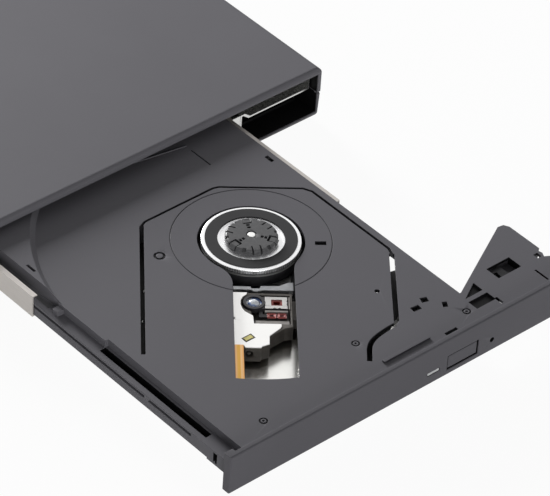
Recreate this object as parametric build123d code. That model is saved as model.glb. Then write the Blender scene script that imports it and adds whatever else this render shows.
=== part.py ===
from build123d import *
import os
from math import sqrt

# External slim disc drive with its tray pulled out, in millimetres.
# Part frame: origin on the table below the middle of the whole length with the tray out,
# +X to the right, +Y from the bezel to the sockets, +Z up. The drive's own numbers below
# count from the bezel's left end (x), front face (y) and bottom (z). The case's numbers
# count from its middle and from the underside of its floor.

# ---- disc and drive ----
disc_r = 60.0            # radius of the disc that the drive takes
disc_side = 5.0          # from the bezel's left end to the disc's edge
disc_front = 7.1         # from the bezel's front to the disc's edge
drive_side_gap = 3.0     # from the disc's edge to the bezel's right end
drive_back_gap = 1.7     # from the disc's edge to the chassis's rear face
drive_h = 12.7           # bezel and chassis height
tray_out = 110.5         # how far the tray slides out
sheet = 0.5              # chassis sheet steel
running = 0.3            # clearance between pieces that pass each other

hub_x = disc_side + disc_r
hub_y = disc_front + disc_r
bezel_w = disc_side + 2 * disc_r + drive_side_gap
drive_back = hub_y + disc_r + drive_back_gap

# ---- case ----
case_side = 1.3          # side wall
case_roof = 2.1          # roof at the front opening
case_floor = 1.9         # floor
case_rear = 1.7          # rear wall
case_d = 143.0           # depth of the case
bezel_gap = 0.4          # around the bezel in the opening
seam_up = 8.4            # height of the seam over the case's bottom
seam_gap = 0.4           # shadow line between the two shells
case_corner = 1.6        # rounding of the long edges
case_draft = 0.6         # lower shell narrows by this on each side
shell_lip = 0.15         # upper shell stands proud of the lower one
foot_h = 1.0             # rubber feet below the floor
foot_r = 4.5
foot_in = 13.0           # feet centres in from the sides and ends

case_w = bezel_w + 2 * bezel_gap + 2 * case_side
case_h = case_floor + bezel_gap + drive_h + bezel_gap + case_roof
drive_z = foot_h + case_floor + bezel_gap

# ---- chassis ----
chassis_front = 3.1      # chassis front edge behind the bezel's front face
side_play = 0.2          # chassis to the case's side walls, beyond the bezel gap
step_x = 101.3 - 65.0    # from the hub to the step wall of the chassis
step_up = 8.5            # height of the step's shoulder
right_floor = 6.9        # top of the raised right floor
board_front = 33.5       # main board: length forward from the chassis's rear face

# ---- tray ----
bezel_t = 2.76           # bezel thickness
bezel_rim_t = 1.65       # thickness of the bezel's top ledge
deck_under_top = 2.5     # tray deck below the bezel's top
deck_t = 1.2             # deck thickness
tray_low = 2.0           # underside of the tray's deep part
tray_end_gap = 1.1       # tray's rear end to the chassis's rear wall, tray shut
bead_x = 2.0             # outer face of the tray's left bead
bead_low = 3.7
bead_top = 7.8
bead_groove = 0.9        # height of the groove along the bead
skirt_x = 6.7            # left skirt of the deck
tray_right = 30.5        # from the hub to the tray's right edge
wing_reach = 1.3         # from the wing's right edge to the bezel's right end
rim_up = 1.5             # raised corner over the deck
recess_clear = 0.6       # disc's edge to the recess, at the disc's height
disc_over_deck = 0.7     # underside of the disc over the deck
wall = 1.2               # walls of the tray

# ---- rails ----
rail_t = 0.35            # rail sheet
left_rail_x = 1.5        # outer face of the left rail
left_rail_w = 1.6
left_rail_low = 3.2
left_rail_top = 10.2
left_rail_len = 92.0
left_rail_from = 84.4    # tray y of the left rail's front end, tray out
right_rail_w = 2.0
right_rail_low = 4.2
right_rail_top = 8.7
right_rail_len = 108.0
right_rail_from = 66.8   # tray y of the right rail's front end, tray out

# ---- spindle and pickup ----
window_angle = 230.5     # direction in which the pickup travels away from the hub
window_low = -5.5        # window sides, measured across the travel
window_high = 11.6
window_end = 58.8        # window end, from the hub
hub_hole_r = 15.1        # round hole over the turntable
turntable_r = 14.05
rubber_out_r = 13.0
rubber_in_r = 9.45
hub_r = 7.45             # seats in the disc's 15 mm hole
hub_rise = 1.35          # hub above the disc's underside
shaft_r = 1.1
lens_at = 24.5           # lens from the hub as photographed
lens_side = 0.3          # lens off the line of travel
lens_r = 2.2
rod_r = 1.0
rod_a = -11.0            # guide rods, across the travel
rod_b = 13.5
screw_s = -17.3          # lead screw, across the travel
screw_r = 1.1
screw_pitch = 3.0
stepper_r = 3.0          # sled motor's can
claw_count = 3
fit = 0.05               # radial clearance of running fits

# ---- bezel features ----
button_x = 78.0 - 64.0   # eject button's left end from the bezel's middle
button_w = 10.9
button_low = 2.1
button_h = 4.3
led_x = 70.4 - 64.0
led_w = 4.5
led_z = 3.7
led_h = 1.1
pin_hole_x = 94.4 - 64.0
pin_hole_z = 4.0
pin_hole_r = 0.75
button_gap = 0.35        # around the eject button

# ---- worked-out places ----
mid_x = bezel_w / 2
deck_z = drive_h - deck_under_top
deck_under = deck_z - deck_t
disc_z = deck_z + disc_over_deck
tray_x1 = hub_x + tray_right
tray_back = drive_back - sheet - tray_end_gap
deep_back = drive_back - board_front - 2.3
chassis_x1 = bezel_w - 0.2
step_wall_x = hub_x + step_x
cover_under = drive_h - 0.3
half_out = tray_out / 2
inner_mid = (tray_low + deck_under) / 2

case_front = half_out - case_d / 2
tray_place = Pos(-mid_x, case_front - tray_out, drive_z)
drive_place = Pos(-mid_x, case_front, drive_z)
case_place = Pos(0, half_out, foot_h)
travel_place = Pos(hub_x, hub_y, 0) * Rot(0, 0, window_angle)


def block(x0, x1, y0, y1, z0, z1):
    """A box between two corners."""
    middle = Pos((x0 + x1) / 2, (y0 + y1) / 2, (z0 + z1) / 2)
    return middle * Box(x1 - x0, y1 - y0, z1 - z0)


def post(x, y, z0, z1, r):
    """An upright cylinder."""
    return Pos(x, y, (z0 + z1) / 2) * Cylinder(r, z1 - z0)


def bar_x(x0, x1, y, z, r):
    """A cylinder along X."""
    return Pos((x0 + x1) / 2, y, z) * Rot(0, 90, 0) * Cylinder(r, x1 - x0)


def bar_y(x, y0, y1, z, r):
    """A cylinder along Y."""
    return Pos(x, (y0 + y1) / 2, z) * Rot(90, 0, 0) * Cylinder(r, y1 - y0)


def plate(points, z0, z1):
    """A flat plate with the given outline."""
    face = make_face(Polyline(*points, close=True))
    return Pos(0, 0, z0) * extrude(face, amount=z1 - z0)


def screw(x, y, top, r_head, head_t, r_shank, length):
    """A small cross-head screw, head up, under its top face."""
    head = post(x, y, top - head_t, top, r_head)
    head = fillet(head.edges().group_by(Axis.Z)[-1], head_t * 0.45)
    body = head + post(x, y, top - head_t - length, top - head_t, r_shank)
    arm = r_head * 0.55
    slot_w = r_head * 0.22
    deep = head_t * 0.6
    body -= block(x - arm, x + arm, y - slot_w, y + slot_w, top - deep, top + 1)
    body -= block(x - slot_w, x + slot_w, y - arm, y + arm, top - deep, top + 1)
    return body


def group(parts):
    """Several separate solids of one kind in one node."""
    return Compound(children=list(parts))


def write(name, shape, place):
    """Writes one node at its place in the part frame."""
    moved = place * shape
    solids = moved.solids()
    whole = solids[0] if len(solids) == 1 else Compound(children=list(solids))
    export_step(whole, f"parts/{name}.step")


# ---- case shells ----
case_x = case_w / 2
case_y = case_d / 2
cavity_x = case_x - case_side
post_r = 2.6
post_in = 7.0            # screw posts in from the side walls
post_back = 5.0          # screw posts in from the rear wall
pilot_r = 0.9
usb_w = 7.7              # mini socket opening
usb_h = 3.9
usb_x = 20.0
jack_r = 2.75            # power jack opening
jack_x = 38.0
jack_size = 6.6


def upper_block():
    """The upper shell's outer shape, from the seam to the rounded top edge."""
    body = block(-case_x, case_x, -case_y, case_y, seam_up + seam_gap, case_h)
    body = fillet(body.edges().filter_by(Axis.Z).group_by(Axis.Y)[-1], 3.0)
    return fillet(body.faces().sort_by(Axis.Z)[-1].edges(), case_corner)


def lower_block():
    """The lower shell's outer shape, narrower towards the rounded bottom edge."""
    wide = case_x - shell_lip
    narrow = wide - case_draft
    body = plate_xz([(-narrow, 0), (narrow, 0), (wide, seam_up), (-wide, seam_up)], -case_y, case_y)
    sides = [e for e in body.edges() if abs(e.center().Z - seam_up / 2) < 0.1 and e.center().Y > case_y - 0.1]
    body = fillet(sides, 2.85)
    return fillet(body.faces().sort_by(Axis.Z)[0].edges(), case_corner)


def case_cavity():
    """The room inside the case, open at the front."""
    low = case_floor
    high = case_h - case_roof
    return block(-cavity_x, cavity_x, -case_y - 1, case_y - case_rear, low, high)


def socket_cuts():
    """The openings for the data socket and the power jack in the rear wall."""
    y0 = case_y - case_rear - 1
    y1 = case_y + 1
    usb = block(usb_x - usb_w / 2 - 0.3, usb_x + usb_w / 2 + 0.3, y0, y1, usb_low - 0.3, usb_low + usb_h + 0.3)
    jack = bar_y(jack_x, y0, y1, jack_z, jack_r + 0.3)
    return usb + jack


def case_posts():
    """Places of the two screw posts at the back."""
    return [(side * (cavity_x - post_in), case_y - case_rear - post_back) for side in (-1, 1)]


bridge_z = case_floor + 2.6
bridge_t = 1.2
usb_low = bridge_z + bridge_t
jack_z = bridge_z + bridge_t + jack_size / 2 - 0.4


def upper_shell():
    shell = upper_block() - case_cavity() - socket_cuts()
    for x, y in case_posts():
        boss = post(x, y, seam_up + 0.6, case_h - case_roof + 0.2, post_r)
        shell += boss
        shell -= post(x, y, seam_up - 1, case_h - case_roof - 1.0, pilot_r)
    rib_y = case_y - case_rear - 3.2
    for x in (-40, 0, 45):
        roof = case_h - case_roof
        shell += block(x - 0.5, x + 0.5, rib_y, case_y - case_rear + 0.2, roof - 1.6, roof + 0.2)
    return shell


def lower_shell():
    shell = lower_block() - case_cavity()
    outer = cavity_x + case_side * 0.45
    y_rear = case_y - case_rear
    tongue = block(-outer, outer, -case_y + 1.2, y_rear + 0.6, seam_up - 0.3, seam_up + seam_gap - 0.05)
    tongue -= block(-cavity_x, cavity_x, -case_y, y_rear, 0, case_h)
    shell = shell + tongue - socket_cuts()
    for x, y in case_posts():
        shell += post(x, y, case_floor - 0.2, seam_up, post_r)
        shell -= post(x, y, -1, seam_up + 1, screw_shank_r + 0.2)
        shell -= post(x, y, -1, screw_sink, screw_head_r + 0.3)
    for x in board_posts_x:
        shell += post(x, bridge_mid_y, case_floor - 0.2, bridge_z, 2.0)
        shell -= post(x, bridge_mid_y, case_floor + 0.4, bridge_z + 1, 0.7)
    for x, y in foot_spots():
        shell -= post(x, y, -1, foot_sink, foot_r + 0.15)
    for side in (-1, 1):
        x = side * 38
        y = drive_rear_y
        stop = block(x - 4, x + 4, y + 0.2, y + 1.4, case_floor - 0.2, case_floor + 2.2)
        shell += stop
    shell += block(ridge_x0, cavity_x - 1.0, ridge_y, ridge_y + 0.4, case_floor - 0.2, case_floor + 0.7)
    for k in range(vent_count):
        x = vent_x0 + k * vent_step
        shell -= block(x, x + 1.6, case_y - 46, case_y - 30, -1, case_floor + 1)
    return shell


foot_sink = 0.6
ridge_x0 = 39.0          # low ridge on the floor behind the opening
ridge_y = 8.15 - case_d / 2
screw_shank_r = 1.0
screw_head_r = 2.0
screw_sink = 2.0
vent_count = 8
vent_step = 4.2
vent_x0 = -(vent_count - 1) * vent_step / 2 - 0.8
drive_rear_y = -case_y + drive_back
bridge_mid_y = (drive_rear_y + case_y - case_rear) / 2
board_posts_x = (-49.5, 49.5)


def foot_spots():
    """Centres of the four feet."""
    x = case_x - foot_in
    y = case_y - foot_in
    return [(-x, -y), (x, -y), (-x, y), (x, y)]


def rubber_feet():
    feet = []
    for x, y in foot_spots():
        foot = post(x, y, -foot_h, foot_sink, foot_r)
        feet.append(fillet(foot.edges().group_by(Axis.Z)[0], 0.4))
    return group(feet)


def shell_screws():
    items = []
    for x, y in case_posts():
        one = screw(0, 0, 0, screw_head_r, 1.3, screw_shank_r - 0.1, seam_up + 2.0)
        items.append(Pos(x, y, screw_sink - 1.3) * Rot(180, 0, 0) * one)
    return group(items)


# ---- bridge electronics behind the drive ----
def bridge_board():
    y0 = drive_rear_y + 1.9
    y1 = case_y - case_rear - 0.3
    board = block(-52, 52, y0, y1, bridge_z, bridge_z + bridge_t)
    for x in board_posts_x:
        board -= post(x, bridge_mid_y, bridge_z - 1, bridge_z + 3, 1.2)
    return board


def bridge_screws():
    head_z = bridge_z + bridge_t + 0.8
    return group([screw(x, bridge_mid_y, head_z, 1.9, 0.8, 0.65, 2.6) for x in board_posts_x])


def bridge_parts():
    """The bridge controller, its crystal and the large capacitors."""
    top = bridge_z + bridge_t
    chip = block(-7, 0, bridge_mid_y - 3.2, bridge_mid_y + 3.8, top, top + 1.0)
    crystal = block(4, 8.6, bridge_mid_y - 1.6, bridge_mid_y + 1.6, top, top + 1.3)
    flash = block(10.5, 14.5, bridge_mid_y - 2.4, bridge_mid_y + 2.4, top, top + 1.4)
    cans = [post(x, bridge_mid_y + 0.6, top, top + 4.2, 2.0) for x in (28.8, 44.5)]
    return group([chip, crystal, flash] + cans)


def usb_socket():
    """Small five-contact data socket: folded shell, tongue and board tabs."""
    y1 = case_y - 0.4
    y0 = y1 - 8.2
    z0 = usb_low
    outer = block(usb_x - usb_w / 2, usb_x + usb_w / 2, y0, y1, z0, z0 + usb_h)
    low = outer.edges().filter_by(Axis.Y).group_by(Axis.Z)[0]
    outer = chamfer(low, 0.9)
    x0 = usb_x - usb_w / 2
    x1 = usb_x + usb_w / 2
    room = block(x0 + 0.35, x1 - 0.35, y0 + 1.2, y1 + 1, z0 + 0.35, z0 + usb_h - 0.35)
    low = room.edges().filter_by(Axis.Y).group_by(Axis.Z)[0]
    room = chamfer(low, 0.75)
    shell = outer - room
    tongue = block(usb_x - 2.2, usb_x + 2.2, y0 + 0.6, y1 - 1.4, z0 + 1.65, z0 + 2.45)
    return shell + tongue


def power_jack():
    """Barrel socket with its centre contact."""
    y1 = case_y - 0.3
    y0 = y1 - 9.0
    low = bridge_z + bridge_t
    half = jack_size / 2
    body = block(jack_x - half, jack_x + half, y0, y1 - case_rear - 0.2, low, low + jack_size - 0.6)
    body += bar_y(jack_x, y1 - case_rear - 1.0, y1, jack_z, jack_r)
    body -= bar_y(jack_x, y0 + 1.5, y1 + 1, jack_z, jack_r - 0.7)
    body += bar_y(jack_x, y0 + 0.8, y1 - 1.6, jack_z, 0.65)
    return body


def drive_connector():
    """Plug of the drive through its rear wall and the socket of the bridge board."""
    z0 = bridge_z + bridge_t
    local_x = plug_x
    x0 = local_x - plug_w / 2
    x1 = local_x + plug_w / 2
    body = block(x0, x1, drive_rear_y + 0.9, drive_rear_y + 5.4, z0, z0 + 3.4)
    body -= block(x0 + 1.2, x1 - 1.2, drive_rear_y, drive_rear_y + 3.6, z0 + 0.9, z0 + 2.7)
    return body


plug_w = 34.0
plug_x = -30.0
plug_low = bridge_z + bridge_t + 1.2


def drive_plug():
    """Edge plug that is soldered to the main board and reaches out of the chassis."""
    x0 = plug_x + mid_x - plug_w / 2 + 1.6
    x1 = plug_x + mid_x + plug_w / 2 - 1.6
    z_low = plug_low - drive_z + foot_h
    blade = block(x0, x1, drive_back - 4.0, drive_back + 3.2, z_low, z_low + 1.0)
    y1 = drive_back - sheet - 0.2
    base = block(x0 - 1.5, x1 + 1.5, drive_back - 5.5, y1, board_z + board_t, z_low + 1.8)
    return base + blade


# ---- chassis ----
board_z = 1.4
board_t = 1.0


def chassis_base():
    """Pressed steel tub: deep at the left, raised floor at the right, rear wall."""
    x0 = 0.0
    x1 = chassis_x1
    y0 = chassis_front
    y1 = drive_back
    step = step_wall_x
    ramp = step + 3.1
    deep = block(x0, step + sheet, y0, y1, 0, sheet)
    left = block(x0, x0 + sheet, y0, y1, 0, cover_under)
    riser = block(step, step + sheet, y0, y1, 0, step_up)
    shoulder = block(step, step + 1.6, y0, y1, step_up - sheet, step_up)
    slope = plate_xz([(step + 1.1, step_up), (step + 1.6, step_up), (ramp + 0.6, right_floor),
                      (ramp, right_floor - sheet), (step + 1.1, step_up - sheet)], y0, y1)
    raised = block(ramp, x1, y0, y1, right_floor - sheet, right_floor)
    right = block(x1 - sheet, x1, y0, y1, right_floor - sheet, cover_under)
    rear = block(x0, step + sheet, y1 - sheet, y1, 0, cover_under)
    rear += block(step, x1, y1 - sheet, y1, right_floor - sheet, cover_under)
    tub = deep + left + riser + shoulder + slope + raised + right + rear
    px = plug_x + mid_x
    z_low = plug_low - drive_z + foot_h
    tub -= block(px - plug_w / 2 + 1.0, px + plug_w / 2 - 1.0, y1 - 1, y1 + 1, z_low - 0.5, z_low + 1.5)
    for bx, by in board_screw_spots():
        tub += post(bx, by, sheet - 0.1, board_z, 1.9)
        tub -= post(bx, by, -1, board_z + 1, board_pilot_r)
    for tab in cover_tabs():
        tub += tab
    return tub


board_pilot_r = 0.6


def plate_xz(points, y0, y1):
    """A bar along Y with the given X, Z section."""
    face = make_face(Polyline(*[(x, 0, z) for x, z in points], close=True))
    return Pos(0, y0, 0) * extrude(face, amount=y1 - y0, dir=(0, 1, 0))


def cover_screw_spots():
    """Screws of the top cover, at its four corners."""
    left = disc_side - 2.0
    right = (disc_side + 2 * disc_r + 0.35 + chassis_x1 - sheet) / 2
    front_spots = [(left, chassis_front + 24), (right, chassis_front + 34)]
    return front_spots + [(left, drive_back - 4.0), (right, drive_back - 8.0)]


def cover_tabs():
    """Folded tabs that take the cover's screws."""
    tabs = []
    for x, y in cover_screw_spots():
        if x < mid_x:
            tab = block(sheet - 0.1, disc_side - 0.35, y - 2.2, y + 2.2, cover_under - 0.8, cover_under)
        else:
            x0 = disc_side + 2 * disc_r + 0.35
            tab = block(x0, chassis_x1 - sheet + 0.1, y - 2.2, y + 2.2, cover_under - 0.8, cover_under)
        tabs.append(tab - post(x, y, cover_under - 2, cover_under + 1, board_pilot_r))
    return tabs


def chassis_top_cover():
    """Flat steel cover with a shallow round bulge over the spindle and four screw holes."""
    cover = block(0, chassis_x1, chassis_front, drive_back, cover_under, drive_h)
    for x, y in cover_screw_spots():
        cover -= post(x, y, cover_under - 1, drive_h + 1, 0.75)
    for x in (28.0, 100.0):
        cover -= block(x - 1.0, x + 1.0, hub_y - 30, hub_y + 30, drive_h - 0.12, drive_h + 1)
    return cover


def chassis_screws():
    return group([screw(x, y, drive_h + 0.3, 1.2, 0.3, 0.5, 1.0) for x, y in cover_screw_spots()])


def left_rail_guide():
    """Moulded C-shaped guide on the chassis's left wall."""
    y0 = left_guide_front
    y1 = drive_back - 3.0
    lip_x = left_rail_x + 1.1
    z0 = left_rail_low - running - 0.5
    z1 = left_rail_top + running + 0.5
    guide = block(sheet, left_rail_x - 0.4, y0, y1, z0, z1)
    guide += block(sheet, lip_x, y0, y1, z0, z0 + 0.5)
    guide += block(sheet, lip_x, y0, y1, z1 - 0.5, z1)
    for x, y in cover_screw_spots():
        if x < mid_x:
            guide -= block(x - 5, x + 2.2, y - 3, y + 3, cover_under - 1.2, cover_under + 1)
    return guide


left_guide_front = 14.0


def right_rail_guide():
    """Folded steel channel beside the chassis's step, with a tab at its front."""
    y0 = chassis_front
    y1 = drive_back - 3.0
    web = right_rail_x1 + running
    z0 = right_rail_low - 0.2 - sheet
    z1 = right_rail_top + 0.2 + sheet
    x0 = tray_x1 + 0.5
    guide = block(web, web + sheet, y0, y1, z0, step_up)
    guide += block(web, web + sheet, wing_back + 1.0, y1, step_up - 0.1, z1)
    guide += block(x0, web + sheet, y0, y1, z0, z0 + sheet)
    guide += block(x0, web + sheet, wing_back + 1.0, y1, z1 - sheet, z1)
    guide += block(web, step_wall_x - 0.1, y0, y0 + sheet, z0, step_up)
    for y in (y0 + 30, y1 - 20):
        guide += block(web, step_wall_x, y - 3, y + 3, z0, z0 + sheet)
    return guide


wing_back = 29.5
right_rail_x0 = tray_x1 + 0.4
right_rail_x1 = right_rail_x0 + right_rail_w


def board_screw_spots():
    return [(13.5, drive_back - 6.0), (86.0, drive_back - 6.0), (13.5, drive_back - board_front + 4)]


def main_board():
    """Drive electronics on the floor behind the tray's deep part."""
    y0 = drive_back - board_front
    y1 = drive_back - sheet - 0.3
    board = block(10, 91, y0, y1, board_z, board_z + board_t)
    board -= block(60, 92, y0 - 1, y0 + 12, board_z - 1, board_z + 3)
    for x, y in board_screw_spots():
        board -= post(x, y, board_z - 1, board_z + 3, 0.8)
    return board


def board_screws():
    head_z = board_z + board_t + 0.6
    return group([screw(x, y, head_z, 1.5, 0.6, 0.55, 1.6) for x, y in board_screw_spots()])


def board_parts():
    """Controller, memory, motor driver and the flat cable's connector."""
    top = board_z + board_t
    y0 = drive_back - board_front
    big = block(32, 46, y0 + 8, y0 + 22, top, top + 1.4)
    memory = block(50, 57, y0 + 10, y0 + 22, top, top + 1.1)
    driver = block(66, 76, y0 + 16, y0 + 24, top, top + 1.6)
    small = block(20, 25, y0 + 14, y0 + 18, top, top + 1.0)
    socket = block(28, 52, y0 + 0.6, y0 + 4.2, top, top + 1.5)
    return group([big, memory, driver, small, socket])


def flat_cable_lower():
    """Fixed run of the tray's flat cable on the chassis floor."""
    y1 = drive_back - board_front + 0.4
    return block(30, 50, cable_fold_y, y1, sheet, sheet + 0.2)


cable_fold_y = 39.0
cable_len = 59.0


def flat_cable_loop():
    """Rolling run of the flat cable between the tray and the floor, with its fold."""
    y0 = cable_fold_y - 4.0 - half_out
    strip = block(30.5, 49.5, y0, y0 + cable_len, cable_low, cable_low + 0.2)
    return strip


cable_low = 0.95


# ---- tray ----
def recess_cut():
    """Room over the deck for the disc: a cone that opens upwards."""
    rise = rim_up + 1.0
    low_r = disc_r + recess_clear - disc_over_deck
    cone = Cone(low_r, low_r + rise, rise)
    return Pos(hub_x, hub_y, deck_z + rise / 2) * cone


def window_cut(z0, z1):
    """The round hole over the turntable joined with the pickup's slot."""
    width = window_high - window_low
    middle = (window_high + window_low) / 2
    slot = Pos(window_end / 2, middle) * Rectangle(window_end, width)
    slot = slot & Circle(window_end)
    outline = Circle(hub_hole_r) + slot
    root = sqrt(hub_hole_r ** 2 - window_low ** 2)
    near = [v for v in outline.vertices() if abs(v.X - root) < 0.5 and v.Y < 0]
    outline = fillet(near, 9.0)
    root = sqrt(hub_hole_r ** 2 - window_high ** 2)
    near = [v for v in outline.vertices() if abs(v.X - root) < 0.5 and v.Y > 0]
    outline = fillet(near, 9.0)
    return Pos(hub_x, hub_y, z0) * Rot(0, 0, window_angle) * extrude(outline, amount=z1 - z0)


def relief_path():
    """Centre line of the C-shaped slot around the deck's middle, from the hub."""
    return [(-54.8, -19.3), (-20.3, 23.2), (-18.3, 24.1), (6.5, 24.1), (8.2, 23.6), (26.8, 8.6), (28.0, 6.0),
            (28.0, -26.0), (27.2, -28.2), (8.6, -50.5), (7.2, -51.3)]


relief_w = 0.8           # C-shaped slot where it is narrow
relief_wide = 1.25       # its left arm
relief_front = 1.5       # its right front arm and its curved end


def relief_cut(z0, z1):
    """The C-shaped slot, wider along its two long arms, with a curved end at the front."""
    sharp = FilletPolyline(*relief_path(), radius=1.2)
    bend = Spline((7.2, -51.3), (2.0, -51.6), (-3.0, -53.0), (-8.4, -58.4), tangents=[(-1, 0), (-0.7, -0.72)])
    line = Wire([*sharp.edges(), *bend.edges()])
    band = trace(line.edges(), relief_w)
    band += trace(Line(*relief_path()[:2]), relief_wide)
    band += trace(Line(*relief_path()[8:10]), relief_front)
    band += trace(bend, relief_front)
    return Pos(hub_x, hub_y, z0) * extrude(band, amount=z1 - z0)


def wing_outline():
    """Outline of the wing that carries the bezel's right end."""
    x1 = bezel_w - wing_reach
    y0 = bezel_t
    return [(tray_x1 - 3, y0), (x1, y0), (x1, 11.4), (x1 - 1.4, 12.2), (x1 - 0.7, 13.6), (x1 - 1.0, 15.0),
            (x1, 15.6), (x1, 27.6), (x1 - 0.9, 29.2), (x1 - 2.8, wing_back), (tray_x1 + 0.4, 14.8),
            (tray_x1 - 3, 14.8)]


def wing_cuts(z0, z1):
    """Windows of the wing."""
    x = tray_x1 - 0.5
    three = plate([(x, 12.0), (x + 6.5, 12.0), (x + 6.5, 15.7)], z0, z1)
    square = block(x - 0.3, x + 6.7, 7.0, 10.5, z0, z1)
    hook = block(x + 6.6, x + 7.5, 4.6, 7.4, z0, z1)
    large = block(window_x0, window_x1, window_y0, window_y1, z0, z1)
    slot = block(x + 23.8, x + 24.4, 4.2, 9.4, z0, z1)
    hole = block(x + 28.3, x + 29.8, 12.6, 14.5, z0, z1)
    return three + square + hook + large + slot + hole


def wing_floors():
    """Floors under the wing's windows: shallow ones near the deck, a deep one under the latch."""
    near = block(tray_x1 - 0.6, tray_x1 + 7.2, 6.4, 16.4, wing_under - 0.3, wing_under)
    near = near & plate(wing_outline(), wing_under - 1, wing_under)
    x0 = window_x0 + 0.6
    x1 = window_x1 + 0.9
    y1 = window_y1 + 1.5
    deep = block(x0, x1, window_y0 - 0.15, y1, wing_low, wing_low + 0.5)
    side = block(window_x1 + 0.1, x1, window_y0 - 0.15, y1, wing_low, wing_under + 0.1)
    back = block(x0 + 4.0, x1, window_y1 + 0.8, y1, wing_low, wing_under + 0.1)
    return near + deep + side + back


window_x0 = tray_x1 + 13.0
window_x1 = tray_x1 + 21.6
window_y0 = 12.9
window_y1 = 17.9


def deck_holes(z0, z1):
    """Small holes and slots that the deck has."""
    cuts = Pos(hub_x + 14.5, hub_y - 12.8, (z0 + z1) / 2) * Rot(0, 0, -38) * Box(3.2, 1.7, z1 - z0)
    cuts += post(hub_x + 13.0, hub_y - 37.8, z0, z1, 0.75)
    cuts += Pos(hub_x + 16.5, hub_y - 49.7, (z0 + z1) / 2) * Rot(0, 0, -6) * Box(2.7, 1.9, z1 - z0)
    cuts += Pos(hub_x + 20.8, hub_y - 48.4, (z0 + z1) / 2) * Rot(0, 0, -20) * Box(2.1, 2.0, z1 - z0)
    cuts += Pos(hub_x + 24.0, hub_y - 53.3, (z0 + z1) / 2) * Rot(0, 0, -30) * Box(1.5, 2.2, z1 - z0)
    cuts += block(hub_x + 15.4, hub_x + 19.7, 3.9, 4.9, z0, z1)
    cuts += block(hub_x + 27.6, hub_x + 28.8, hub_y + 23.2, hub_y + 26.2, z0, z1)
    return cuts


def tray_screw_spots():
    """Screws through the bottom cover into the deck's bosses."""
    return [(hub_x - 6.5, 16.5), (hub_x - 37.0, 7.2), (hub_x + 26.7, 8.0), (hub_x - 24.7, hub_y + 10.1)]


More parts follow.
